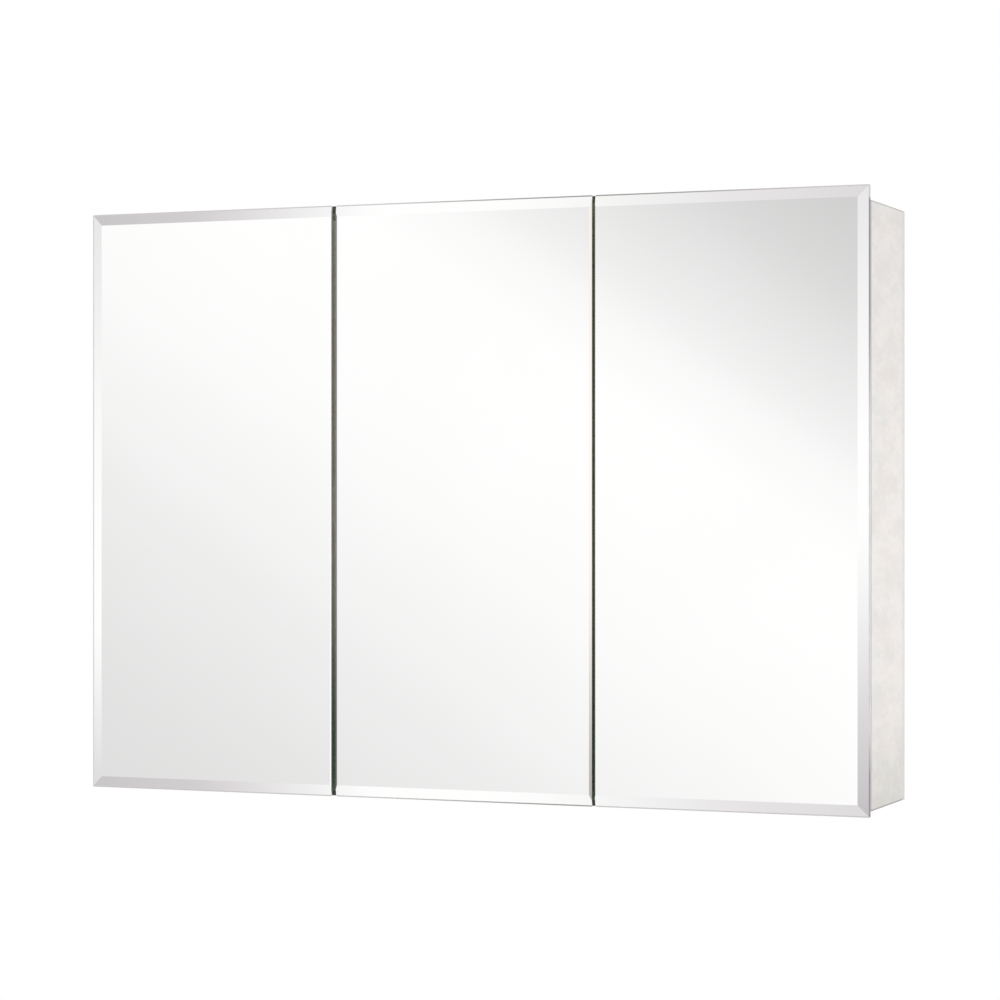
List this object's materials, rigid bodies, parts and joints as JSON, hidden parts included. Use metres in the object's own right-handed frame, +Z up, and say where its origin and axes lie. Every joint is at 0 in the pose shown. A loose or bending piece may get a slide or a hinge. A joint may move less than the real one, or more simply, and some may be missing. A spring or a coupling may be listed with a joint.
{
  "type": "medicine cabinet with mirror",
  "caption": "Wall-hung steel bathroom cabinet whose front is a row of bevelled frameless mirror doors on continuous hinges, with partitioned bays and glass shelves.",
  "frame": {"origin": "centre of the rear face, which lies against the wall", "axes": "+X to the right as seen from the front, +Y into the wall, +Z up; the mirrors face -Y"},
  "size_m": [0.9144, 0.145, 0.6542],
  "materials": {
    "body_coat": "warm white powder coat, fine mottle",
    "liner_coat": "warm white powder coat inside the body",
    "pan_coat": "warm white powder coat on the door pans",
    "rail_steel": "coated pressed steel",
    "clip_steel": "zinc-plated spring steel",
    "shelf_glass": "clear float glass with polished edges",
    "hinge_steel": "plain rolled steel hinge strip",
    "pin_steel": "drawn steel wire",
    "fastener_steel": "bright zinc plate",
    "catch_plastic": "moulded white plastic",
    "magnet_metal": "nickel-plated magnets",
    "strike_steel": "zinc-plated steel",
    "bumper_rubber": "soft translucent grey rubber",
    "tab_coat": "dark olive paint on folded steel",
    "foam_tape": "double-sided foam tape",
    "mirror_glass": "silvered float glass with polished bevels"
  },
  "bodies": {
    "cabinet": {"side_left": "body_coat", "side_right": "body_coat", "top_panel": "body_coat", "bottom_panel": "body_coat", "back_panel": "liner_coat", "partition_left": "liner_coat", "partition_right": "liner_coat", "stile_left": "body_coat", "stile_right": "body_coat", "rails_left": "rail_steel", "rails_centre": "rail_steel", "rails_right": "rail_steel", "clips_left": "clip_steel", "clips_centre": "clip_steel", "clips_right": "clip_steel", "shelf_left_lower": "shelf_glass", "shelf_left_upper": "shelf_glass", "shelf_centre_lower": "shelf_glass", "shelf_centre_upper": "shelf_glass", "shelf_right_lower": "shelf_glass", "shelf_right_upper": "shelf_glass", "hinge_body_leaf_left": "hinge_steel", "hinge_body_leaf_centre": "hinge_steel", "hinge_body_leaf_right": "hinge_steel", "hinge_pin_left": "pin_steel", "hinge_pin_centre": "pin_steel", "hinge_pin_right": "pin_steel", "hinge_rivets_body": "fastener_steel", "catch_holder_left": "catch_plastic", "catch_holder_centre": "catch_plastic", "catch_holder_right": "catch_plastic", "catch_magnets_left": "magnet_metal", "catch_magnets_centre": "magnet_metal", "catch_magnets_right": "magnet_metal", "catch_screws": "fastener_steel", "bumpers": "bumper_rubber", "seam_tabs": "tab_coat"},
    "door_left": {"mirror_left": "mirror_glass", "mirror_tape_left": "foam_tape", "door_pan_left": "pan_coat", "hinge_door_leaf_left": "hinge_steel", "hinge_rivets_door_left": "fastener_steel", "strike_left": "strike_steel"},
    "door_centre": {"mirror_centre": "mirror_glass", "mirror_tape_centre": "foam_tape", "door_pan_centre": "pan_coat", "hinge_door_leaf_centre": "hinge_steel", "hinge_rivets_door_centre": "fastener_steel", "strike_centre": "strike_steel"},
    "door_right": {"mirror_right": "mirror_glass", "mirror_tape_right": "foam_tape", "door_pan_right": "pan_coat", "hinge_door_leaf_right": "hinge_steel", "hinge_rivets_door_right": "fastener_steel", "strike_right": "strike_steel"}
  },
  "joints": [
    {"name": "left_door_hinge", "type": "hinge", "parent": "cabinet", "child": "door_left", "pos_m": [-0.45565, -0.1382, 0], "axis": [0, 0, -1], "range_deg": [0, 105]},
    {"name": "centre_door_hinge", "type": "hinge", "parent": "cabinet", "child": "door_centre", "pos_m": [-0.14795, -0.1382, 0], "axis": [0, 0, -1], "range_deg": [0, 90]},
    {"name": "right_door_hinge", "type": "hinge", "parent": "cabinet", "child": "door_right", "pos_m": [0.45565, -0.1382, 0], "axis": [0, 0, 1], "range_deg": [0, 105]}
  ]
}
